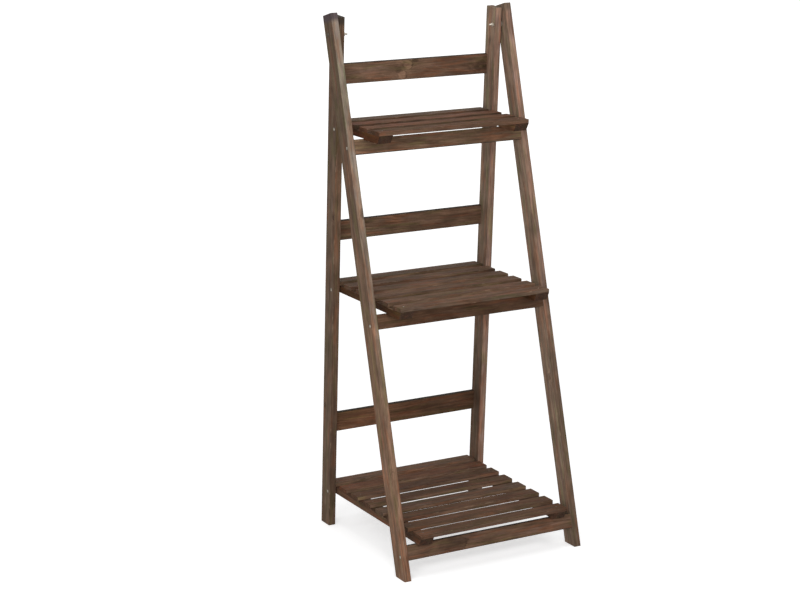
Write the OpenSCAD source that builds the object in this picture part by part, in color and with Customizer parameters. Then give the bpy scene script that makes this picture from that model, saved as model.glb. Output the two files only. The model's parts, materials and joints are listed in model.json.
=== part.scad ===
// Folding plant ladder: two hinged wooden frames carrying three fold-up slatted shelves.
// Axes: X across the stand, Y from front to back, Z up. Origin on the floor, centre of the feet.

/* [Overall] */
// Width over the outer faces of the front legs
width = 410; // [380:5:460]
// Depth on the floor, front edge of the front feet to back edge of the rear feet
depth = 400; // [380:5:430]
// Height of the top front corner of the front legs
height = 1080; // [1060:5:1120]

/* [Legs] */
// Wide side of a leg, seen from the side of the stand
leg_w = 36; // [32:1:40]
// Thickness of a leg across the stand
leg_t = 15; // [12:1:18]
// Gap between a front leg and the rear leg beside it
leg_gap = 3; // [2.5:0.5:5]
// Distance of the hinge bolts below the top of the front legs
hinge_drop = 44.5; // [40:0.5:50]
// Distance of the hinge bolts ahead of the back edge of the rear feet
hinge_setback = 98; // [90:1:104]
// How far the hinge bolts lie ahead of midway between the outer long edges of the legs
hinge_shift = 3; // [0:0.5:4]
// Height of the top back corner of the rear legs below the top of the front legs
rear_top_drop = 8; // [4:1:12]

/* [Boards] */
// Wide side of the crossbars and the shelf rails
batten_w = 30; // [28:0.5:35]
// Thickness of the crossbars and the shelf rails
batten_t = 13; // [11:0.5:15]
// Height of a back slat
back_w = 41; // [34:1:46]
// Thickness of a back slat
back_t = 10; // [8:0.5:12]
// Height of the lower edge of the bottom back slat
back_z_lower = 199.5; // [180:0.5:230]
// Height of the lower edge of the middle back slat
back_z_middle = 612; // [590:0.5:640]
// Height of the lower edge of the top back slat
back_z_upper = 932.5; // [910:0.5:950]
// Chamfer on the long edges of every board
ease = 0.5; // [0.3:0.1:1]

/* [Shelves] */
// Height of the top of the lower shelf
shelf_z_lower = 89; // [82:0.5:110]
// Height of the top of the middle shelf
shelf_z_middle = 528.5; // [510:0.5:550]
// Height of the top of the upper shelf
shelf_z_upper = 860.5; // [840:0.5:875]
// How far the lower shelf stands out ahead of its crossbar
overhang = 18; // [16:0.5:18]
// How far the shelves stand out behind the rear legs
back_overhang = 5; // [0:0.5:6]
// Width of a shelf slat
slat_w = 33; // [28:1:38]
// Thickness of a shelf slat
slat_t = 8; // [6:0.5:9]
// How far each slat of the lower shelf, from the back, sits behind its even place
lower_set_back = [0, 1, 2.5, 1, -1.5, -0.5, -0.5, 0];
// Gap between the ends of a shelf and the rear legs
side_gap = 2.5; // [2:0.5:6]
// Step by which the front end of a rail hangs down ahead of the crossbar
lug = 3; // [2:0.5:5]
// How far the front end of a rail is cut back at its lower corner
rail_cut = 10; // [6:1:12]

/* [Hardware] */
// How far the screws of each crossbar, from the lowest, sit below its middle
bar_screw_drop = [5.5, 6, 0.5];
// Diameter of the hinge bolts
bolt_d = 4; // [4:0.5:6]
// Diameter of the domed bolt heads
bolt_head_d = 9; // [8:0.5:12]
// Height of the domed bolt heads
bolt_head_h = 2.4; // [2:0.1:3.5]
// Hexagon nut across the flats
nut_af = 7; // [7:0.5:10]
// Height of a hexagon nut
nut_h = 3.2; // [3:0.2:6]
// Length of bolt standing out past the nut
bolt_tail = 6; // [4:0.5:10]
// Outer diameter of the spacers between the legs
spacer_d = 12; // [10:0.5:16]
// Shank diameter of the wood screws
screw_d = 4; // [3.5:0.25:4.5]
// Head diameter of the wood screws
screw_head_d = 8; // [7:0.5:9]
// Length of the wood screws
screw_len = 42; // [36:1:44]
// Shank diameter of the nails
nail_d = 1.8; // [1.4:0.1:2.2]
// Head diameter of the nails
nail_head_d = 3.6; // [3:0.1:4.4]

/* [Hidden] */
$fn = 48;

LEFT = -1;
RIGHT = 1;
LOWER = 0;
MIDDLE = 1;
UPPER = 2;
counts = [8, 6, 4];
shelf_z = [shelf_z_lower, shelf_z_middle, shelf_z_upper];
back_z = [back_z_lower, back_z_middle, back_z_upper];
wood = "saddlebrown";
dark_wood = "sienna";
steel = "silver";

// Clearances: faces that come to rest on each other, a pin in its bore, overshoot of a cutter
rest_gap = 0.3;
bore_gap = 0.1;
over = 1;

// Hinge line, and how far it lies inside the outer long edges of the front and of the rear legs.
// The two add up so that the crossbars end in front of the rear legs when the frames lie flat.
fold_gap = 2;
inset = (leg_w + batten_t) / 2 + fold_gap;
front_inset = inset - hinge_shift;
rear_inset = inset + hinge_shift;
bolt_y = depth / 2 - hinge_setback;
bolt_z = height - hinge_drop;

// Lean of the two frames, found from a foot corner and the hinge line
front_run = bolt_y + depth / 2;
front_lean = atan(front_run / bolt_z) - asin(front_inset / norm([front_run, bolt_z]));
rear_lean = atan(hinge_setback / bolt_z) - asin(rear_inset / norm([hinge_setback, bolt_z]));
front_top = (hinge_drop - front_inset * sin(front_lean)) / cos(front_lean);
rear_top = (hinge_drop - rear_top_drop - rear_inset * sin(rear_lean)) / cos(rear_lean);

// Length of leg below the hinge line, before its foot is cut level with the floor
leg_reach = height + depth / 2;

// Faces across the stand
front_out = width / 2;
front_in = front_out - leg_t;
rear_out = front_in - leg_gap;
rear_in = rear_out - leg_t;
shelf_half = rear_in - side_gap;
rail_mid = shelf_half - batten_w / 2;

// Front plane of the front frame and back plane of the rear frame at a height z
function front_face(z) = z * tan(front_lean) - depth / 2;
function back_face(z) = depth / 2 - z * tan(rear_lean);

// Shelf layout
function shelf_back(s) = back_face(shelf_z[s]) + back_overhang;
rail_under = slat_t + batten_t;
lower_front = front_face(shelf_z_lower - rail_under) - overhang;
pitch = (shelf_back(LOWER) - lower_front - slat_w) / (counts[LOWER] - 1);
function shelf_front(s) = shelf_back(s) - (counts[s] - 1) * pitch - slat_w;
function slat_back(s, i) =
    shelf_back(s) - (i - 1) * pitch + (s == LOWER ? lower_set_back[i - 1] : 0);
function pivot_z(s) = shelf_z[s] - slat_t - batten_t / 2;
function pivot_y(s) = back_face(pivot_z(s)) - inset / cos(rear_lean);

// Crossbar measured along the front leg, down from the hinge line
function bar_top(s) =
    (shelf_z[s] - rail_under - rest_gap - bolt_z - front_inset * sin(front_lean))
    / cos(front_lean);
function bar_screw(s) = bar_top(s) - batten_w / 2 - bar_screw_drop[s];
bar_mid_y = batten_t / 2 - front_inset;

// Back slat measured along the rear leg, down from the hinge line
function back_low(s) =
    (back_z[s] - bolt_z - (rear_inset - back_t) * sin(rear_lean)) / cos(rear_lean);
back_mid_y = rear_inset - back_t / 2;
pin_len = 34;
pin_sink = 2;
pin_space = back_w / 4;

// Fastener shapes
spacer_t = leg_gap - rest_gap;
head_cone = (screw_head_d - screw_d) / 2;
screw_sink = 0.3;
screw_point = 0.6;
recess_w = 1;
recess_l = screw_head_d - 3.6;
recess_h = 1.4;
nail_head_h = 0.8;
nail_sink = 0.3;
nail_grip = 9;
nail_len = slat_t + nail_grip;
bolt_point = 0.8;
nut_chamfer = 30;
bolt_reach = front_out - rear_in + nut_h + bolt_tail;
dome_r = (pow(bolt_head_h, 2) + pow(bolt_head_d / 2, 2)) / (2 * bolt_head_h);

// Rectangle a by b with chamfered corners, starting at the origin
function eased(a, b) = [
    [ease, 0], [a - ease, 0], [a, ease], [a, b - ease],
    [a - ease, b], [ease, b], [0, b - ease], [0, ease]
];

// Board standing along Z, wide b in Y, thick a in X
module stick(a, b, len) {
    linear_extrude(height = len) polygon(eased(a, b));
}

// Board lying along X, centred on x = 0, starting at y = 0, z = 0
module beam(len, deep, high) {
    translate([-len / 2, 0, 0]) rotate([90, 0, 90]) linear_extrude(height = len)
        polygon(eased(deep, high));
}

// Places its child on the side given, with local Z pointing inward across the stand
module inward(side, x, y, z) {
    translate([side * x, y, z]) rotate([0, -90 * side, 0]) children();
}

// Child in the frame of the front legs, and in the frame of the rear legs
module on_front() {
    translate([0, bolt_y, bolt_z]) rotate([-front_lean, 0, 0]) children();
}
module on_rear() {
    translate([0, bolt_y, bolt_z]) rotate([rear_lean, 0, 0]) children();
}

// Everything below the floor
module below_floor() {
    translate([-width, -depth, -height]) cube([2 * width, 2 * depth, height]);
}

// Countersunk wood screw in a surface at z = 0, pointing along +Z
module screw() {
    shank = screw_sink + head_cone;
    tip = screw_len - screw_d;
    difference() {
        union() {
            translate([0, 0, screw_sink]) cylinder(h = head_cone, d1 = screw_head_d, d2 = screw_d);
            translate([0, 0, shank]) cylinder(h = tip - shank, d = screw_d);
            translate([0, 0, tip]) cylinder(h = screw_d, d1 = screw_d, d2 = screw_point);
        }
        for (a = [0, 90]) rotate([0, 0, a])
            translate([-recess_l / 2, -recess_w / 2, screw_sink - over])
                cube([recess_l, recess_w, recess_h + over]);
    }
}

// Hole for that screw, with its countersink and an open mouth
module screw_bore() {
    wide = screw_head_d + 2 * bore_gap;
    translate([0, 0, -over]) cylinder(h = over + screw_sink, d = wide);
    translate([0, 0, screw_sink]) cylinder(h = head_cone, d1 = wide, d2 = screw_d + 2 * bore_gap);
    translate([0, 0, screw_sink]) cylinder(h = screw_len, d = screw_d + 2 * bore_gap);
}

// Nail with a flat head, pointing along -Z from a surface at z = 0
module nail() {
    translate([0, 0, -nail_sink - nail_head_h]) cylinder(h = nail_head_h, d = nail_head_d);
    translate([0, 0, -nail_len]) cylinder(h = nail_len - nail_sink - nail_head_h, d = nail_d);
}
module nail_bore() {
    deep = nail_sink + nail_head_h;
    translate([0, 0, -deep]) cylinder(h = deep + over, d = nail_head_d + 2 * bore_gap);
    translate([0, 0, -nail_len - bore_gap]) cylinder(h = nail_len, d = nail_d + 2 * bore_gap);
}

// Screw places: crossbar ends in the front frame, shelf pivots, back slat pins
module at_bar_ends(side, s) {
    on_front() inward(side, front_out, bar_mid_y, bar_screw(s)) children();
}
module at_pivot(side, s) {
    inward(side, rear_out, pivot_y(s), pivot_z(s)) children();
}
module at_pins(side, s) {
    for (d = [-1, 1]) on_rear()
        inward(side, rear_out, back_mid_y, back_low(s) + back_w / 2 + d * pin_space) children();
}
module pin() {
    translate([0, 0, pin_sink]) cylinder(h = pin_len, d = nail_d);
}
module pin_bore() {
    translate([0, 0, -over])
        cylinder(h = pin_len + pin_sink + over + bore_gap, d = nail_d + 2 * bore_gap);
}

module front_leg(side) {
    x = side == RIGHT ? front_in : -front_out;
    color(wood) difference() {
        on_front() translate([x, -front_inset, -leg_reach]) stick(leg_t, leg_w, leg_reach + front_top);
        below_floor();
        inward(side, front_out + over, bolt_y, bolt_z)
            cylinder(h = leg_t + 2 * over, d = bolt_d + 2 * bore_gap);
        for (s = [LOWER, MIDDLE, UPPER]) at_bar_ends(side, s) screw_bore();
    }
}

module rear_leg(side) {
    x = side == RIGHT ? rear_in : -rear_out;
    color(wood) difference() {
        on_rear() translate([x, rear_inset - leg_w, -leg_reach])
            stick(leg_t, leg_w, leg_reach + rear_top);
        below_floor();
        inward(side, rear_out + over, bolt_y, bolt_z)
            cylinder(h = leg_t + 2 * over, d = bolt_d + 2 * bore_gap);
        for (s = [LOWER, MIDDLE, UPPER]) at_pivot(side, s) screw_bore();
        for (s = [LOWER, MIDDLE, UPPER]) at_pins(side, s) pin_bore();
    }
}

module crossbar(s) {
    color(wood) difference() {
        on_front() translate([0, -front_inset, bar_top(s) - batten_w])
            beam(2 * front_in, batten_t, batten_w);
        for (side = [LEFT, RIGHT]) at_bar_ends(side, s) screw_bore();
    }
}

module crossbar_screws() {
    color(steel) for (s = [LOWER, MIDDLE, UPPER]) for (side = [LEFT, RIGHT])
        at_bar_ends(side, s) screw();
}

module back_slat(s) {
    color(dark_wood) difference() {
        on_rear() translate([0, rear_inset - back_t, back_low(s)]) beam(2 * rear_in, back_t, back_w);
        for (side = [LEFT, RIGHT]) at_pins(side, s) pin_bore();
    }
}

module back_slat_pins() {
    color(steel) for (s = [LOWER, MIDDLE, UPPER]) for (side = [LEFT, RIGHT]) at_pins(side, s) pin();
}

// Side view of a rail: square behind, cut back in front, hooked over its crossbar
module rail(s, side) {
    top = shelf_z[s] - slat_t;
    under = top - batten_t;
    low = under - lug;
    hook = rest_gap / cos(front_lean);
    back = shelf_back(s);
    front = shelf_front(s);
    x = side == RIGHT ? shelf_half - batten_w : -shelf_half;
    color(dark_wood) difference() {
        translate([x, 0, 0]) rotate([90, 0, 90]) linear_extrude(height = batten_w) polygon([
            [back, under], [back, top], [front, top], [front, top - ease], [front + rail_cut, low],
            [front_face(low) - hook, low], [front_face(under) - hook, under]
        ]);
        at_pivot(side, s) screw_bore();
        at_nails(s, side) nail_bore();
    }
}

module at_nails(s, side) {
    for (i = [1 : counts[s]])
        translate([side * rail_mid, slat_back(s, i) - slat_w / 2, shelf_z[s]]) children();
}

module slat(s, i) {
    color(wood) difference() {
        translate([0, slat_back(s, i) - slat_w, shelf_z[s] - slat_t])
            beam(2 * shelf_half, slat_w, slat_t);
        for (side = [LEFT, RIGHT])
            translate([side * rail_mid, slat_back(s, i) - slat_w / 2, shelf_z[s]]) nail_bore();
    }
}

module slat_nails(s) {
    color(steel) for (side = [LEFT, RIGHT]) at_nails(s, side) nail();
}

module pivot_screws(s) {
    color(steel) for (side = [LEFT, RIGHT]) at_pivot(side, s) screw();
}

// Domed bolt, its head outside the front leg, its end inside the rear leg
module hinge_bolts() {
    color(steel) for (side = [LEFT, RIGHT]) inward(side, front_out, bolt_y, bolt_z) {
        translate([0, 0, -rest_gap]) cylinder(h = bolt_reach + rest_gap - bolt_point, d = bolt_d);
        translate([0, 0, bolt_reach - bolt_point])
            cylinder(h = bolt_point, d1 = bolt_d, d2 = bolt_d - 2 * bolt_point);
        intersection() {
            translate([0, 0, dome_r - bolt_head_h - rest_gap]) sphere(r = dome_r);
            translate([0, 0, -bolt_head_h - rest_gap - over])
                cylinder(h = bolt_head_h + over, d = bolt_head_d);
        }
    }
}

// Ring on the bolt, standing on the outer face of each rear leg
module hinge_spacers() {
    color(steel) for (side = [LEFT, RIGHT])
        inward(side, rear_out + spacer_t, bolt_y, bolt_z) difference() {
            cylinder(h = spacer_t, d = spacer_d);
            translate([0, 0, -over])
                cylinder(h = spacer_t + 2 * over, d = bolt_d + 2 * bore_gap);
        }
}

// Hexagon nut, chamfered on the side away from the leg
module hinge_nuts() {
    point_d = nut_af / cos(180 / 6);
    color(steel) for (side = [LEFT, RIGHT]) inward(side, rear_in, bolt_y, bolt_z)
        difference() {
            intersection() {
                cylinder(h = nut_h, d = point_d, $fn = 6);
                cylinder(h = nut_h, d1 = nut_af + 2 * nut_h / tan(nut_chamfer), d2 = nut_af);
            }
            translate([0, 0, -over])
                cylinder(h = nut_h + 2 * over, d = bolt_d + 2 * bore_gap);
        }
}

rear_leg(LEFT);  // rear_leg_left
rear_leg(RIGHT);  // rear_leg_right
back_slat(LOWER);  // back_slat_lower
back_slat(MIDDLE);  // back_slat_middle
back_slat(UPPER);  // back_slat_upper
back_slat_pins();
hinge_bolts();
hinge_spacers();
hinge_nuts();
front_leg(LEFT);  // front_leg_left
front_leg(RIGHT);  // front_leg_right
crossbar(LOWER);  // crossbar_lower
crossbar(MIDDLE);  // crossbar_middle
crossbar(UPPER);  // crossbar_upper
crossbar_screws();
rail(LOWER, LEFT);  // lower_rail_left
rail(LOWER, RIGHT);  // lower_rail_right
slat(LOWER, 1);  // lower_slat_1
slat(LOWER, 2);  // lower_slat_2
slat(LOWER, 3);  // lower_slat_3
slat(LOWER, 4);  // lower_slat_4
slat(LOWER, 5);  // lower_slat_5
slat(LOWER, 6);  // lower_slat_6
slat(LOWER, 7);  // lower_slat_7
slat(LOWER, 8);  // lower_slat_8
slat_nails(LOWER);  // lower_slat_nails
pivot_screws(LOWER);  // lower_pivot_screws
rail(MIDDLE, LEFT);  // middle_rail_left
rail(MIDDLE, RIGHT);  // middle_rail_right
slat(MIDDLE, 1);  // middle_slat_1
slat(MIDDLE, 2);  // middle_slat_2
slat(MIDDLE, 3);  // middle_slat_3
slat(MIDDLE, 4);  // middle_slat_4
slat(MIDDLE, 5);  // middle_slat_5
slat(MIDDLE, 6);  // middle_slat_6
slat_nails(MIDDLE);  // middle_slat_nails
pivot_screws(MIDDLE);  // middle_pivot_screws
rail(UPPER, LEFT);  // upper_rail_left
rail(UPPER, RIGHT);  // upper_rail_right
slat(UPPER, 1);  // upper_slat_1
slat(UPPER, 2);  // upper_slat_2
slat(UPPER, 3);  // upper_slat_3
slat(UPPER, 4);  // upper_slat_4
slat_nails(UPPER);  // upper_slat_nails
pivot_screws(UPPER);  // upper_pivot_screws
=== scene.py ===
"""Looks of a folding plant ladder: stained softwood boards and zinc-plated fasteners on a pale floor.

Lengths are in metres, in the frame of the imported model: X across, Y to the back, Z up. Names that end
in _MM, and the numbers inside the wood and steel materials, are in millimetres.
"""

import json
import math
from collections import namedtuple

import bmesh
import bpy
from mathutils import Matrix, Vector, noise


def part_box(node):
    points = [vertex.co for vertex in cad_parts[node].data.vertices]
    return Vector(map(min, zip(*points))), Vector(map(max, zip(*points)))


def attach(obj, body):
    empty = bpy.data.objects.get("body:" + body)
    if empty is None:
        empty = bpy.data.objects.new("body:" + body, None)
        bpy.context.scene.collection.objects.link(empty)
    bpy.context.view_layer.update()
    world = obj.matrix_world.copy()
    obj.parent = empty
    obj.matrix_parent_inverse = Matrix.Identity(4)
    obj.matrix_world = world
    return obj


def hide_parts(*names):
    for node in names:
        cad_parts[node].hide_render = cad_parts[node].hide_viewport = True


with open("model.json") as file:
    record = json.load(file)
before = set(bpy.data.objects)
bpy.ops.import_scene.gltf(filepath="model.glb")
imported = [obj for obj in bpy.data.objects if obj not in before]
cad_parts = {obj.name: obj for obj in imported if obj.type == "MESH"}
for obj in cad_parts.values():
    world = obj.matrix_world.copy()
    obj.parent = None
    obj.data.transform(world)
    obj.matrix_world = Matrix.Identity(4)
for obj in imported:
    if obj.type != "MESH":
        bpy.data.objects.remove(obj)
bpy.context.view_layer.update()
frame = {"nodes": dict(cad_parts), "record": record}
MM = 0.001
WHITE = (1, 1, 1)
SLOT_OF = {entry["node"]: entry["material_slot"] for entry in frame["record"]["subparts"]}
BODY_OF = {
    node: body
    for body, nodes in frame["record"]["behaviour"]["bodies"].items()
    for node in nodes
}

# ---------------------------------------------------------------- camera

IMAGE_WIDTH_PX = 800
FOCAL_LENGTH_PX = 2092
OPTICAL_AXIS_X_PX = 445.1
CAMERA_AZIMUTH = -29.84
CAMERA_ELEVATION = 13.79
CAMERA_DISTANCE = 4.225
CAMERA_TARGET = Vector((0, 0, 0.4996))


def toward(azimuth, elevation):
    """Direction from the stand to a viewer or a lamp; azimuth 0 is in front of it, 90 on its right."""
    a, e = math.radians(azimuth), math.radians(elevation)
    return Vector((math.sin(a) * math.cos(e), -math.cos(a) * math.cos(e), math.sin(e)))


def add_camera():
    data = bpy.data.cameras.new("photo_camera")
    data.lens = data.sensor_width * FOCAL_LENGTH_PX / IMAGE_WIDTH_PX
    data.shift_x = 0.5 - OPTICAL_AXIS_X_PX / IMAGE_WIDTH_PX
    camera = bpy.data.objects.new("photo_camera", data)
    back = toward(CAMERA_AZIMUTH, CAMERA_ELEVATION)
    camera.location = CAMERA_TARGET + back * CAMERA_DISTANCE
    camera.rotation_euler = back.to_track_quat("Z", "Y").to_euler()
    bpy.context.scene.collection.objects.link(camera)
    bpy.context.scene.camera = camera


# ---------------------------------------------------------------- node trees


class Graph:
    """Builds a node tree from short expressions. A value is a number, a colour, a vector or a socket."""

    def __init__(self, tree):
        self.tree = tree

    def add(self, kind, **settings):
        node = self.tree.nodes.new(kind)
        for name, value in settings.items():
            setattr(node, name, value)
        return node

    def feed(self, socket, value):
        if isinstance(value, bpy.types.NodeSocket):
            self.tree.links.new(value, socket)
        elif socket.type == "RGBA" and len(value) == 3:
            socket.default_value = (*value, 1)
        else:
            socket.default_value = value

    def math(self, operation, *values):
        node = self.add("ShaderNodeMath", operation=operation)
        for socket, value in zip(node.inputs, values):
            self.feed(socket, value)
        return node.outputs[0]

    def vector(self, operation, *values):
        node = self.add("ShaderNodeVectorMath", operation=operation)
        for socket, value in zip(node.inputs, values):
            self.feed(socket, value)
        return node.outputs["Value" if operation in ("LENGTH", "DOT_PRODUCT") else "Vector"]

    def parts(self, vector):
        node = self.add("ShaderNodeSeparateXYZ")
        self.feed(node.inputs[0], vector)
        return node.outputs

    def noise(self, vector, cycles, detail=3, roughness=0.55, output="Fac"):
        """Noise with so many cycles per unit of the vector, along each of its axes."""
        node = self.add("ShaderNodeTexNoise")
        self.feed(node.inputs["Vector"], self.vector("MULTIPLY", vector, cycles))
        node.inputs["Scale"].default_value = 1
        node.inputs["Detail"].default_value = detail
        node.inputs["Roughness"].default_value = roughness
        return node.outputs[output]

    def sway(self, vector, cycles, detail):
        """Noise in three directions, about zero."""
        cloud = self.noise(vector, cycles, detail, output="Color")
        return self.vector("SUBTRACT", cloud, (0.5, 0.5, 0.5))

    def spread(self, value, low, high, to_low=0.0, to_high=1.0):
        """Smooth step of value from low to high, onto to_low to to_high."""
        node = self.add("ShaderNodeMapRange", interpolation_type="SMOOTHSTEP")
        for socket, number in zip(node.inputs, (value, low, high, to_low, to_high)):
            self.feed(socket, number)
        return node.outputs[0]

    def ramp(self, value, stops):
        """Colour of value between at least two stops, each a position and a grey or a colour."""
        node = self.add("ShaderNodeValToRGB")
        elements = node.color_ramp.elements
        while len(elements) < len(stops):
            elements.new(0.5)
        for element, (position, colour) in zip(elements, stops):
            element.position = position
            element.color = (*colour, 1) if isinstance(colour, tuple) else (colour, colour, colour, 1)
        self.feed(node.inputs[0], value)
        return node.outputs[0]

    def mix(self, factor, a, b):
        node = self.add("ShaderNodeMix", data_type="RGBA")
        node.clamp_factor = True
        self.feed(node.inputs[0], factor)
        self.feed(node.inputs[6], a)
        self.feed(node.inputs[7], b)
        return node.outputs[2]

    def bump(self, shader, height, strength, distance_mm):
        node = self.add("ShaderNodeBump")
        node.inputs["Strength"].default_value = strength
        node.inputs["Distance"].default_value = distance_mm * MM
        self.feed(node.inputs["Height"], height)
        self.feed(shader.inputs["Normal"], node.outputs[0])


def srgb(code):
    """Linear colour of a hex code such as "6b4a38"."""
    channels = [int(code[i : i + 2], 16) / 255 for i in (0, 2, 4)]
    return tuple(c / 12.92 if c <= 0.04045 else ((c + 0.055) / 1.055) ** 2.4 for c in channels)


def new_material(name):
    material = bpy.data.materials.new(name)
    material.use_nodes = True
    return material, Graph(material.node_tree), material.node_tree.nodes["Principled BSDF"]


# ---------------------------------------------------------------- stain and knots of each board

# Tones of the stain, and of painted shade and light, from dark to light
TONES = {
    # A near-black tone of painted shade, not of the stain
    "painted_shade": srgb("342a22"),
    "coffee": srgb("48301e"),
    "shade": srgb("4c382c"),
    "rust": srgb("563420"),
    "umber": srgb("584030"),
    "walnut": srgb("5c483a"),
    "russet": srgb("644432"),
    "dun": srgb("604e40"),
    "oak": srgb("644c3c"),
    "copper": srgb("6c4c38"),
    "tan": srgb("6e5644"),
    "fawn": srgb("765c4a"),
    "clay": srgb("7e6a5a"),
    "dust": srgb("807264"),
    "sand": srgb("8c7060"),
}

# Tones of the wide and of the narrow faces, from the low or left end of a board to the other. Part of this
# is painted light: some narrow faces carry painted shade, and the slats' tops are toned darker and their
# front faces lighter as painted shade and painted light.
STAIN_AND_PAINTED_LIGHT = {
    # On the back slats and crossbars the near-black narrow faces are painted shade
    "back_slat_lower": ("copper umber", "painted_shade"),
    "back_slat_middle": ("tan oak", "painted_shade"),
    "back_slat_upper": ("fawn oak", "painted_shade"),
    "crossbar_lower": ("oak", "painted_shade"),
    "crossbar_middle": ("umber", "painted_shade"),
    "crossbar_upper": ("tan", "painted_shade"),
    "front_leg_left": ("fawn dun", "fawn dust"),
    "front_leg_right": ("clay", "dun sand"),
    "lower_rail_left": ("shade", "umber"),
    "lower_rail_right": ("shade", "shade"),
    # On the slats the darker tops are painted shade and the lighter front faces are painted light
    "lower_slat_1": ("oak", "fawn"),
    "lower_slat_2": ("russet", "fawn"),
    "lower_slat_3": ("umber", "fawn"),
    "lower_slat_4": ("umber", "fawn"),
    "lower_slat_5": ("walnut", "fawn"),
    "lower_slat_6": ("umber", "fawn"),
    "lower_slat_7": ("umber", "tan"),
    "lower_slat_8": ("umber", "walnut"),
    "middle_rail_left": ("shade", "coffee"),
    "middle_rail_right": ("shade", "coffee"),
    "middle_slat_1": ("walnut", "tan"),
    "middle_slat_2": ("oak", "oak"),
    "middle_slat_3": ("oak", "fawn"),
    "middle_slat_4": ("oak", "tan"),
    "middle_slat_5": ("oak", "tan"),
    "middle_slat_6": ("oak", "dun"),
    "rear_leg_left": ("dun", "walnut tan"),
    "rear_leg_right": ("dun clay", "sand"),
    "upper_rail_left": ("shade", "rust"),
    "upper_rail_right": ("shade", "copper"),
    "upper_slat_1": ("walnut", "walnut"),
    "upper_slat_2": ("russet", "walnut"),
    "upper_slat_3": ("russet", "walnut"),
    "upper_slat_4": ("umber", "oak"),
}

# Weathered tops of the legs
WEATHERED = {
    "front_leg_left": srgb("4b4146"),
    "front_leg_right": srgb("6a5a4c"),
    "rear_leg_left": srgb("38322c"),
}

# Knots of a board, in its own frame: middle and radii in mm, and how light the heart is. The lower
# crossbar's entry is no knot but a painted shadow.
THROUGH = 1000
KNOTS_AND_SHADOW = {
    "back_slat_upper": [
        ((-13, -9, 0), (11, 12, THROUGH), 1.35),
        ((-26, 11, 0), (11, 11, THROUGH), 1.35),
        ((-35, 2, 0), (9, 4, THROUGH), 0.6),
        ((2, -17, 0), (9, 4, THROUGH), 0.5),
        ((156, 5, 0), (17, 14, THROUGH), 0.72),
        ((158, 5, 0), (7, 4, THROUGH), 1.6),
    ],
    "back_slat_middle": [((-112, -19, 0), (9, 7, THROUGH), 0.5)],
    "front_leg_left": [
        ((163, 17, 5), (13, 9, 7), 0.55),
        ((-350, 17, -3), (10, THROUGH, 4.5), 1.15),
    ],
    "rear_leg_left": [
        ((132, 12, 0), (9, 6, THROUGH), 0.6),
        ((-275, -10, 0), (8, 6, THROUGH), 0.6),
    ],
    "front_leg_right": [((-210, 5, 0), (9, 6, THROUGH), 0.7)],
    # Painted shadow of the rail's end: a large dark patch across the crossbar's full height
    "crossbar_lower": [((-92, 0, 0), (40, 18, THROUGH), 0.66)],
    "middle_slat_6": [((27, -6, 0), (6, 3, THROUGH), 1.5)],
    "lower_slat_3": [((-95, -3, 0), (6, 4, THROUGH), 0.7)],
    "lower_slat_7": [((110, 2, 0), (6, 4, THROUGH), 0.7)],
}

# ---------------------------------------------------------------- stained wood

# Factors by which the stain leans towards red, olive or grey, and by which late wood darkens it
REDDISH = (1.16, 0.94, 0.84)
OLIVE = (0.90, 1.03, 0.84)
GREYISH = (1.06, 1.10, 1.24)
EARLY_WOOD = (1.14, 1.14, 1.14)
DARK_GRAIN = (0.58, 0.53, 0.48)
BARE_EDGE = srgb("a58a70")

RING_SPACING_MM = 4.2
RING_PUSH_MM = 2.2 * RING_SPACING_MM
RING_SWAY_MM = 26
TOP_BAND_MM = 15
TOP_FADE_MM = 6

# Layers of the grain: cycles per mm along and across it, detail and roughness
GRAIN = {
    "band": (0.011, 0.12, 3, 0.6),
    "streak": (0.014, 0.5, 4, 0.7),
    "fibre": (0.04, 1.4, 5, 0.7),
    "hair": (0.11, 3.7, 3, 0.7),
    "blotch": (0.022, 0.06, 3, 0.6),
}
# How far each layer darkens and lightens the colour
SWING = {"band": 0.20, "streak": 0.22, "fibre": 0.18, "hair": 0.10, "blotch": 0.20}

# A board, the matrix of its own frame, and half its size in that frame
Board = namedtuple("Board", "node seed own half")


def own_place(g, spot, own):
    """Place of a spot in a board's own frame, in mm."""
    mapping = g.add("ShaderNodeMapping", vector_type="TEXTURE")
    g.feed(mapping.inputs["Vector"], spot)
    mapping.inputs["Location"].default_value = own.translation
    mapping.inputs["Rotation"].default_value = own.to_euler()
    return g.vector("MULTIPLY", mapping.outputs[0], (1 / MM, 1 / MM, 1 / MM))


def squarely(g, normal, own, axis):
    """How squarely a face looks along an axis of its board, from 0 to 1."""
    return g.math("ABSOLUTE", g.vector("DOT_PRODUCT", normal, own.col[axis].to_3d()))


def tone_stops(tones):
    """Evenly spread ramp stops of a line of tones; a single tone gives two alike."""
    names = tones.split()
    stops = [((i + 0.5) / len(names), TONES[name]) for i, name in enumerate(names)]
    return stops if len(stops) > 1 else stops * 2


def face_stain_and_painted_light(g, board, x, on_narrow):
    """Colour of the stain, face by face and along the board, with painted light and shade on some faces."""
    along = g.math("ADD", g.math("DIVIDE", x, 2 * board.half.x / MM), 0.5)
    wide, narrow = (g.ramp(along, tone_stops(tones)) for tones in STAIN_AND_PAINTED_LIGHT[board.node])
    return g.mix(on_narrow, wide, narrow)


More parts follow.
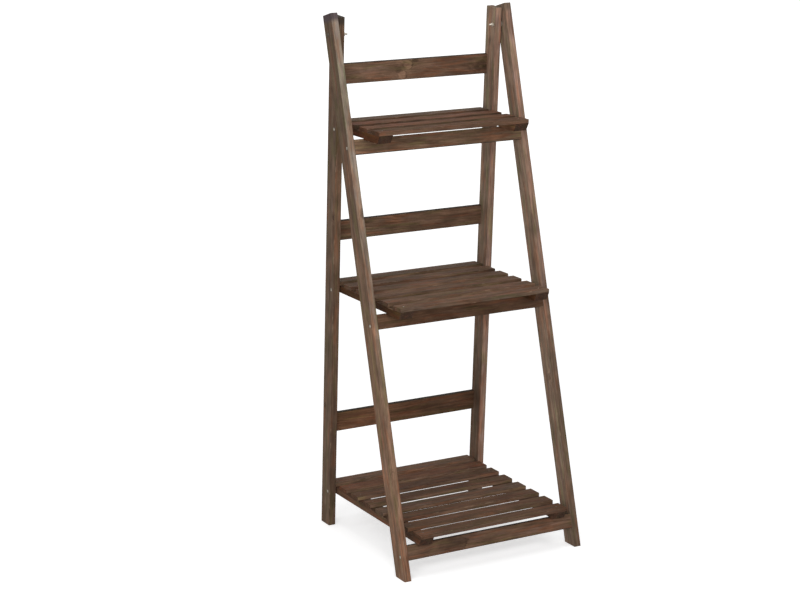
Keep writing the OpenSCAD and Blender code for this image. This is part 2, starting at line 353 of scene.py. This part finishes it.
def knots_and_shadow(g, place, ragged, knots):
    """How far knots push the rings aside, in mm, and the tone of their hearts and dark rims; the lower
    crossbar's dark patch, drawn the same way, is a painted shadow.
    """
    push = 0.0
    tone = WHITE
    for middle, radii, heart in knots:
        away = g.vector("DIVIDE", g.vector("SUBTRACT", place, middle), radii)
        distance = g.vector("LENGTH", g.vector("ADD", away, g.vector("MULTIPLY", ragged, (0.9, 0.9, 0.9))))
        pull = g.math("POWER", 0.5, g.math("MULTIPLY", distance, distance))
        push = g.math("ADD", push, g.math("MULTIPLY", pull, RING_PUSH_MM))
        tone = g.vector("MULTIPLY", tone, g.spread(distance, 0.95, 0.55, 1.0, heart))
        rim = g.ramp(distance, [(0.72, 1.0), (0.9, 0.5), (1.0, 1.0)])
        rim = g.mix(g.spread(g.parts(away)[0], 0.0, 0.8), WHITE, rim)
        tone = g.vector("MULTIPLY", tone, rim)
    return push, tone


def late_wood(g, board, place, shifted, push):
    """Growth rings: the light early wood, 0, darkens slowly into a thin late line, 1."""
    pith = (0, 30 * math.sin(board.seed * 2.3), 26 + 22 * math.cos(board.seed * 1.7))
    sway = g.sway(shifted, (0.004, 0.012, 0.012), detail=2)
    centre = g.vector("SUBTRACT", g.vector("MULTIPLY", place, (0, 1, 1)), pith)
    centre = g.vector("ADD", centre, g.vector("MULTIPLY", sway, (0, RING_SWAY_MM, RING_SWAY_MM)))
    radius = g.math("ADD", g.vector("LENGTH", centre), push)
    uneven = g.noise(shifted, (0.01, 0.22, 0.22), detail=2)
    turns = g.math("DIVIDE", radius, RING_SPACING_MM)
    turns = g.math("FRACT", g.math("ADD", turns, g.math("MULTIPLY", uneven, 1.6)))
    ring = g.ramp(turns, [(0.0, 0.0), (0.45, 0.12), (0.8, 0.75), (0.93, 1.0), (1.0, 0.05)])
    patchy = g.noise(shifted, (0.006, 0.06, 0.06), detail=2)
    return g.math("MULTIPLY", ring, g.spread(patchy, 0.3, 0.7, 0.2, 0.8))


def drifting_hue(g, shifted):
    """Factor by which the stain drifts between red, olive and grey."""
    drift = g.noise(shifted, (0.012, 0.09, 0.09), roughness=0.6)
    other = g.noise(g.vector("ADD", shifted, (71, 13, 29)), (0.016, 0.12, 0.12), roughness=0.6)
    hue = g.mix(g.spread(drift, 0.52, 0.64), WHITE, REDDISH)
    hue = g.mix(g.spread(drift, 0.48, 0.36), hue, OLIVE)
    return g.mix(g.spread(other, 0.54, 0.68, 0, 0.8), hue, GREYISH)


def weathered_top(g, board, x, streak, colour):
    """The colour, with the top of a leg weathered over a short band."""
    start = board.half.x / MM - TOP_BAND_MM
    weathered = g.spread(x, start - TOP_FADE_MM, start + TOP_FADE_MM, 0, 0.85)
    mottle = g.spread(streak, 0.3, 0.7, 0.7, 1.3)
    return g.mix(weathered, colour, g.vector("MULTIPLY", WEATHERED[board.node], mottle))


def rubbed_edges(g, board, y, z, shifted, colour):
    """The colour, darker along the long edges, and bare where it is rubbed off them."""
    to_side = g.math("SUBTRACT", board.half.y / MM, g.math("ABSOLUTE", y))
    to_face = g.math("SUBTRACT", board.half.z / MM, g.math("ABSOLUTE", z))
    edge = g.spread(g.math("MAXIMUM", to_side, to_face), 2.0, 0.7)
    colour = g.vector("MULTIPLY", colour, g.spread(edge, 0, 1, 1.0, 0.8))
    rubbed = g.noise(shifted, (0.04, 0.2, 0.2), detail=4, roughness=0.7)
    rubbed = g.math("MULTIPLY", edge, g.spread(rubbed, 0.55, 0.68, 0, 0.5))
    return g.mix(rubbed, colour, BARE_EDGE)


def end_grain(g, on_end, shifted, colour):
    """The colour, darker on the ends of the board, whose pores drink more of the stain."""
    pores = g.spread(g.noise(shifted, (0.9, 0.9, 0.9), detail=4), 0.35, 0.65, 0.55, 0.95)
    return g.vector("MULTIPLY", colour, g.spread(on_end, 0, 1, 1.0, pores))


def wood_material(board):
    """Stained softwood, with its grain along the X of the board's own frame."""
    material, g, shader = new_material(board.node + "_wood")
    coordinates = g.add("ShaderNodeTexCoord")
    place = own_place(g, coordinates.outputs["Object"], board.own)
    shifted = g.vector("ADD", place, (board.seed * 913.0, board.seed * 377.0, board.seed * 151.0))
    x, y, z = g.parts(place)
    normal = coordinates.outputs["Normal"]
    on_end = g.spread(squarely(g, normal, board.own, 0), 0.5, 0.8)
    on_narrow = g.spread(squarely(g, normal, board.own, 1), 0.5, 0.85)

    layers = {
        name: g.noise(shifted, (along, across, across), detail, roughness)
        for name, (along, across, detail, roughness) in GRAIN.items()
    }
    fleck = g.spread(g.noise(shifted, (0.05, 1.2, 1.2), detail=2), 0.66, 0.78)
    ragged = g.sway(shifted, (0.07, 0.16, 0.16), detail=3)
    push, knot_and_shadow_tone = knots_and_shadow(g, place, ragged, KNOTS_AND_SHADOW.get(board.node, []))
    late = late_wood(g, board, place, shifted, push)

    # The face tones hold painted light and shade as well as stain
    colour = g.vector("MULTIPLY", face_stain_and_painted_light(g, board, x, on_narrow), drifting_hue(g, shifted))
    colour = g.vector("MULTIPLY", colour, g.mix(late, EARLY_WOOD, DARK_GRAIN))
    for name, layer in layers.items():
        swung = g.spread(layer, 0.28, 0.72, 1 - SWING[name], 1 + SWING[name])
        colour = g.vector("MULTIPLY", colour, swung)
    colour = g.mix(g.math("MULTIPLY", fleck, 0.5), colour, g.vector("MULTIPLY", colour, DARK_GRAIN))
    # This tone also carries the painted shadow on the lower crossbar
    colour = g.vector("MULTIPLY", colour, knot_and_shadow_tone)
    if board.node in WEATHERED:
        colour = weathered_top(g, board, x, layers["streak"], colour)
    colour = rubbed_edges(g, board, y, z, shifted, colour)
    g.feed(shader.inputs["Base Color"], end_grain(g, on_end, shifted, colour))

    rough = g.math("ADD", 0.62, g.math("MULTIPLY", layers["fibre"], 0.24))
    g.feed(shader.inputs["Roughness"], g.math("SUBTRACT", rough, g.math("MULTIPLY", late, 0.1)))
    shader.inputs["Specular IOR Level"].default_value = 0.1
    relief = g.math("ADD", g.math("MULTIPLY", late, 0.8), g.math("MULTIPLY", layers["fibre"], 0.9))
    relief = g.math("ADD", relief, g.math("MULTIPLY", layers["hair"], 0.35))
    g.bump(shader, g.math("SUBTRACT", relief, fleck), 0.7, 0.35)
    return material


# ---------------------------------------------------------------- zinc-plated steel

ZINC = srgb("dcd4c6")
WORN_ZINC = tuple(c * 0.55 for c in ZINC)
# Colour of grime, and of the painted shade on the left bolt
GRIME_AND_SHADE = srgb("4a4136")
HEAD_GAP = 12 * MM
BOLT_HEAD_MM = 2.4
THREAD_PITCH_MM = 0.8
FRONT_NAILS_MM = 10


def head_centres(node):
    """Middles of a node's screw heads, as (y, z) in mm."""
    spots = [v.co for v in frame["nodes"][node].data.vertices]
    reach = max(abs(s.x) for s in spots)
    heads = []
    for spot in spots:
        if abs(spot.x) > reach - 0.1 * MM:
            near = [head for head in heads if (head[0].yz - spot.yz).length < HEAD_GAP]
            if near:
                near[0].append(spot)
            else:
                heads.append([spot])
    return [sum((spot.yz for spot in head), Vector((0, 0))) / len(head) / MM for head in heads]


def nail_grime(g, node, y):
    """Only the front row of a shelf's nails is bright, and on the lower shelf it isn't either."""
    row_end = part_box(node)[0][1] / MM + FRONT_NAILS_MM
    front = 0.9 if node.startswith("lower") else 0.15
    return g.spread(y, row_end - 2, row_end + 2, front, 0.95)


def bolt_grime_and_shade(g, x, under_head):
    """Bolts are bright inside the frame and dull on their heads, and the left one is darker still with
    painted shade.
    """
    outward = g.spread(g.math("ABSOLUTE", x), under_head - 0.2, under_head + 0.2, 0.05, 0.7)
    # Painted shade: the whole left bolt, past x = 0, is darkened further
    return g.math("ADD", outward, g.spread(x, 0, -1, 0, 0.3))


def thread_height(g, x, under_head):
    """Ridges of a bolt's thread, up to its head."""
    ridges = g.math("MULTIPLY", g.math("PINGPONG", x, THREAD_PITCH_MM / 2), 2 / THREAD_PITCH_MM)
    shank = g.spread(g.math("ABSOLUTE", x), under_head - 0.3, under_head - 0.4)
    return g.math("MULTIPLY", ridges, shank)


def screw_grime(g, node, place, cloud):
    """Screw heads are bright in the middle, and grime gathers round them."""
    nearest = 1000.0
    for centre in head_centres(node):
        away = g.vector("SUBTRACT", g.vector("MULTIPLY", place, (0, 1, 1)), (0, *centre))
        nearest = g.math("MINIMUM", nearest, g.vector("LENGTH", away))
    return g.spread(g.math("ADD", nearest, cloud), 2.4, 3.6, 0.05, 0.9)


def steel_material(node):
    """Zinc plate, scratched, and dulled by stain and grime; the left bolt also by painted shade."""
    material, g, shader = new_material(node + "_steel")
    coordinates = g.add("ShaderNodeTexCoord")
    place = g.vector("MULTIPLY", coordinates.outputs["Object"], (1 / MM, 1 / MM, 1 / MM))
    x, y = g.parts(place)[:2]
    cloud = g.noise(place, (0.6, 0.6, 0.6))
    scratch = g.noise(place, (9, 9, 1.2), roughness=0.7)
    thread = 0.0
    if "nails" in node:
        grime = nail_grime(g, node, y)
    elif "bolts" in node:
        under_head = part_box(node)[1][0] / MM - BOLT_HEAD_MM
        grime = bolt_grime_and_shade(g, x, under_head)
        thread = thread_height(g, x, under_head)
    elif "screws" in node:
        grime = screw_grime(g, node, place, cloud)
    elif "spacers" in node:
        grime = g.spread(cloud, 0.3, 0.7, 0.5, 0.8)
    else:
        grime = g.spread(cloud, 0.35, 0.7, 0.0, 0.3)
    plate = g.mix(g.spread(scratch, 0.6, 0.8, 0, 0.4), ZINC, WORN_ZINC)
    # The grime here also carries the left bolt's painted shade
    g.feed(shader.inputs["Base Color"], g.mix(grime, plate, GRIME_AND_SHADE))
    g.feed(shader.inputs["Metallic"], g.spread(grime, 0, 1, 1.0, 0.25))
    rough = g.math("ADD", 0.26, g.math("MULTIPLY", cloud, 0.2))
    g.feed(shader.inputs["Roughness"], g.math("ADD", rough, g.math("MULTIPLY", grime, 0.3)))
    g.bump(shader, g.math("ADD", thread, g.math("MULTIPLY", scratch, 0.15)), 0.6, 0.3)
    return material


# ---------------------------------------------------------------- boards

SAME_SPOT = 1e-6
FLAT_ANGLE = math.radians(1)
SHARP_ANGLE = math.radians(20)
SHADE_ANGLE = math.radians(34)
LONG_EDGE = 3 * MM
END_FACE_AREA = 50 * MM * MM
EDGE_ROUND = 0.25 * MM
SLICE = 9 * MM
WEAR_BAND = 2.4 * MM
WEAR_DEPTH = 0.3 * MM
FACE_WAVE = 0.08 * MM


def positive(direction):
    """The direction or its opposite, so that its largest component is positive."""
    return direction if max(direction, key=abs) > 0 else -direction


def board_frame(bm):
    """Matrix of a board's own frame, at its middle: X along the grain, Y across, Z through the board."""
    longest = max(bm.edges, key=lambda e: e.calc_length())
    along = positive((longest.verts[1].co - longest.verts[0].co).normalized())
    areas = {}
    for face in bm.faces:
        if abs(face.normal.dot(along)) < 0.1:
            key = tuple(round(abs(c), 2) for c in face.normal)
            total, normal = areas.get(key, (0, face.normal.copy()))
            areas[key] = (total + face.calc_area(), normal)
    through = positive(max(areas.values(), key=lambda pair: pair[0])[1])
    across = through.cross(along).normalized()
    matrix = Matrix((along, across, through)).transposed().to_4x4()
    spots = [matrix.inverted() @ v.co for v in bm.verts]
    middle = [(min(s[i] for s in spots) + max(s[i] for s in spots)) / 2 for i in range(3)]
    matrix.translation = matrix @ Vector(middle)
    return matrix


def is_outline(edge):
    """Whether an edge bounds the board, and not one of its bores."""
    if edge.calc_face_angle(0) < SHARP_ANGLE:
        return False
    if edge.calc_length() > LONG_EDGE:
        return True
    return any(abs(f.normal.x) > 0.7 and f.calc_area() > END_FACE_AREA for f in edge.link_faces)


def slice_board(bm, half):
    """Cuts the board into short rings, and its faces along the edges, so that wear can bend them."""
    along, across, through = Matrix.Identity(3)
    count = max(2, round(2 * half.x / SLICE))
    planes = [(along * (-half.x + 2 * half.x * i / count), along) for i in range(1, count)]
    for sign in (-1, 1):
        planes.append((across * sign * (half.y - WEAR_BAND), across))
        planes.append((through * sign * (half.z - WEAR_BAND), through))
        planes.append((along * sign * (half.x - WEAR_BAND), along))
    for point, normal in planes:
        geometry = bm.verts[:] + bm.edges[:] + bm.faces[:]
        bmesh.ops.bisect_plane(bm, geom=geometry, plane_co=point, plane_no=normal, dist=SAME_SPOT)


def wear_board(bm, half, seed):
    """Pulls the edges in where they are rubbed or knocked, and lets the faces wave a little."""
    offset = Vector((seed * 3.7, seed * 1.9, seed * 0.7))
    for vert in bm.verts:
        near = [1 - (half[i] - abs(vert.co[i])) / WEAR_BAND for i in range(3)]
        near = [min(1.0, max(0.0, n)) for n in near]
        side = [math.copysign(1, c) for c in vert.co]
        corner = Vector((vert.co.x * 45, side[1] * 5, side[2] * 5)) + offset
        handled = 0.5 * max(0.0, noise.noise(corner))
        knocked = 1.1 * max(0.0, noise.noise(corner * 3.1) - 0.22)
        edge = sorted(near)[1] * WEAR_DEPTH * (0.25 + handled + knocked)
        wave = FACE_WAVE * (0.5 + 0.5 * noise.noise(vert.co * 60 + offset))
        vert.co.x -= side[0] * near[0] * edge * 0.5
        for i in (1, 2):
            vert.co[i] -= side[i] * near[i] * (edge * 0.7 + wave)


def worn_mesh(node, seed):
    """Mesh of a CAD node with rounded, rubbed edges, with its own frame and half its size."""
    bm = bmesh.new()
    bm.from_mesh(frame["nodes"][node].data)
    bmesh.ops.remove_doubles(bm, verts=bm.verts, dist=SAME_SPOT)
    bmesh.ops.dissolve_limit(bm, angle_limit=FLAT_ANGLE, verts=bm.verts, edges=bm.edges)
    bm.normal_update()
    own = board_frame(bm)
    bm.transform(own.inverted())
    bm.normal_update()
    half = Vector([max(abs(v.co[i]) for v in bm.verts) for i in range(3)])
    outline = [e for e in bm.edges if is_outline(e)]
    bmesh.ops.bevel(
        bm, geom=outline, offset=EDGE_ROUND, segments=2, profile=0.5, affect="EDGES", clamp_overlap=True
    )
    slice_board(bm, half)
    wear_board(bm, half, seed)
    bm.transform(own)
    low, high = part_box(node)
    for vert in bm.verts:
        vert.co = [min(max(c, a), b) for c, a, b in zip(vert.co, low, high)]
    bm.normal_update()
    for edge in bm.edges:
        edge.smooth = edge.calc_face_angle(0) < SHADE_ANGLE
    for face in bm.faces:
        face.smooth = True
    mesh = bpy.data.meshes.new(node + "_worn")
    bm.to_mesh(mesh)
    bm.free()
    return mesh, own, half


def dress_wood():
    nodes = [node for node in sorted(frame["nodes"]) if SLOT_OF[node] == "stained_wood"]
    for index, node in enumerate(nodes):
        seed = 1.0 + 1.37 * index
        mesh, own, half = worn_mesh(node, seed)
        piece = bpy.data.objects.new(node + "_board", mesh)
        bpy.context.scene.collection.objects.link(piece)
        piece.modifiers.new("even_normals", "WEIGHTED_NORMAL").keep_sharp = True
        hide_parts(node)
        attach(piece, BODY_OF[node])
        mesh.materials.append(wood_material(Board(node, seed, own, half)))


def dress_steel():
    for node, piece in frame["nodes"].items():
        if SLOT_OF[node] == "zinc_steel":
            piece.data.materials.clear()
            piece.data.materials.append(steel_material(node))


# ---------------------------------------------------------------- studio

FLOOR_RADIUS = 40
FLOOR_ALBEDO = 0.8
# Light that the floor adds to itself in the camera's eyes, near the stand and far from it
NEAR_LIFT = 0.54
FAR_LIFT = 0.8
NEAR_RADIUS = 1.0
FAR_RADIUS = 5.0
SKY_LIGHT = 0.5


def add_floor():
    bm = bmesh.new()
    bmesh.ops.create_circle(bm, cap_ends=True, radius=FLOOR_RADIUS, segments=64)
    mesh = bpy.data.meshes.new("floor")
    bm.to_mesh(mesh)
    bm.free()
    floor = bpy.data.objects.new("floor", mesh)
    bpy.context.scene.collection.objects.link(floor)
    material, g, shader = new_material("pale_floor")
    shader.inputs["Base Color"].default_value = (FLOOR_ALBEDO, FLOOR_ALBEDO, FLOOR_ALBEDO, 1)
    shader.inputs["Roughness"].default_value = 1
    shader.inputs["Specular IOR Level"].default_value = 0
    shader.inputs["Emission Color"].default_value = (*WHITE, 1)
    seen = g.add("ShaderNodeLightPath").outputs["Is Camera Ray"]
    away = g.vector("LENGTH", g.add("ShaderNodeNewGeometry").outputs["Position"])
    lift = g.spread(away, NEAR_RADIUS, FAR_RADIUS, NEAR_LIFT, FAR_LIFT)
    g.feed(shader.inputs["Emission Strength"], g.math("MULTIPLY", seen, lift))
    mesh.materials.append(material)


def add_sky():
    """Plain sky that looks white, and lights the stand less than it looks."""
    world = bpy.data.worlds.new("studio")
    bpy.context.scene.world = world
    world.use_nodes = True
    g = Graph(world.node_tree)
    path = g.add("ShaderNodeLightPath")
    shown = g.math("MAXIMUM", path.outputs["Is Camera Ray"], path.outputs["Is Glossy Ray"])
    shown = g.math("MAXIMUM", shown, path.outputs["Is Transmission Ray"])
    background = world.node_tree.nodes["Background"]
    background.inputs["Color"].default_value = (*WHITE, 1)
    g.feed(background.inputs["Strength"], g.spread(shown, 0, 1, SKY_LIGHT, 1.0))


def add_softbox(name, azimuth, elevation, distance, size, power):
    """Square lamp that shines at the middle of the stand."""
    data = bpy.data.lights.new(name, "AREA")
    data.size = size
    data.energy = power
    lamp = bpy.data.objects.new(name, data)
    back = toward(azimuth, elevation)
    lamp.location = CAMERA_TARGET + back * distance
    lamp.rotation_euler = back.to_track_quat("Z", "Y").to_euler()
    lamp.visible_camera = False
    bpy.context.scene.collection.objects.link(lamp)


add_camera()
add_floor()
add_sky()
add_softbox("overhead", azimuth=0, elevation=84, distance=3.4, size=1.6, power=28)
add_softbox("front", azimuth=-40, elevation=20, distance=3.6, size=2.4, power=62)
dress_wood()
dress_steel()

bpy.context.scene.view_settings.view_transform = "Standard"
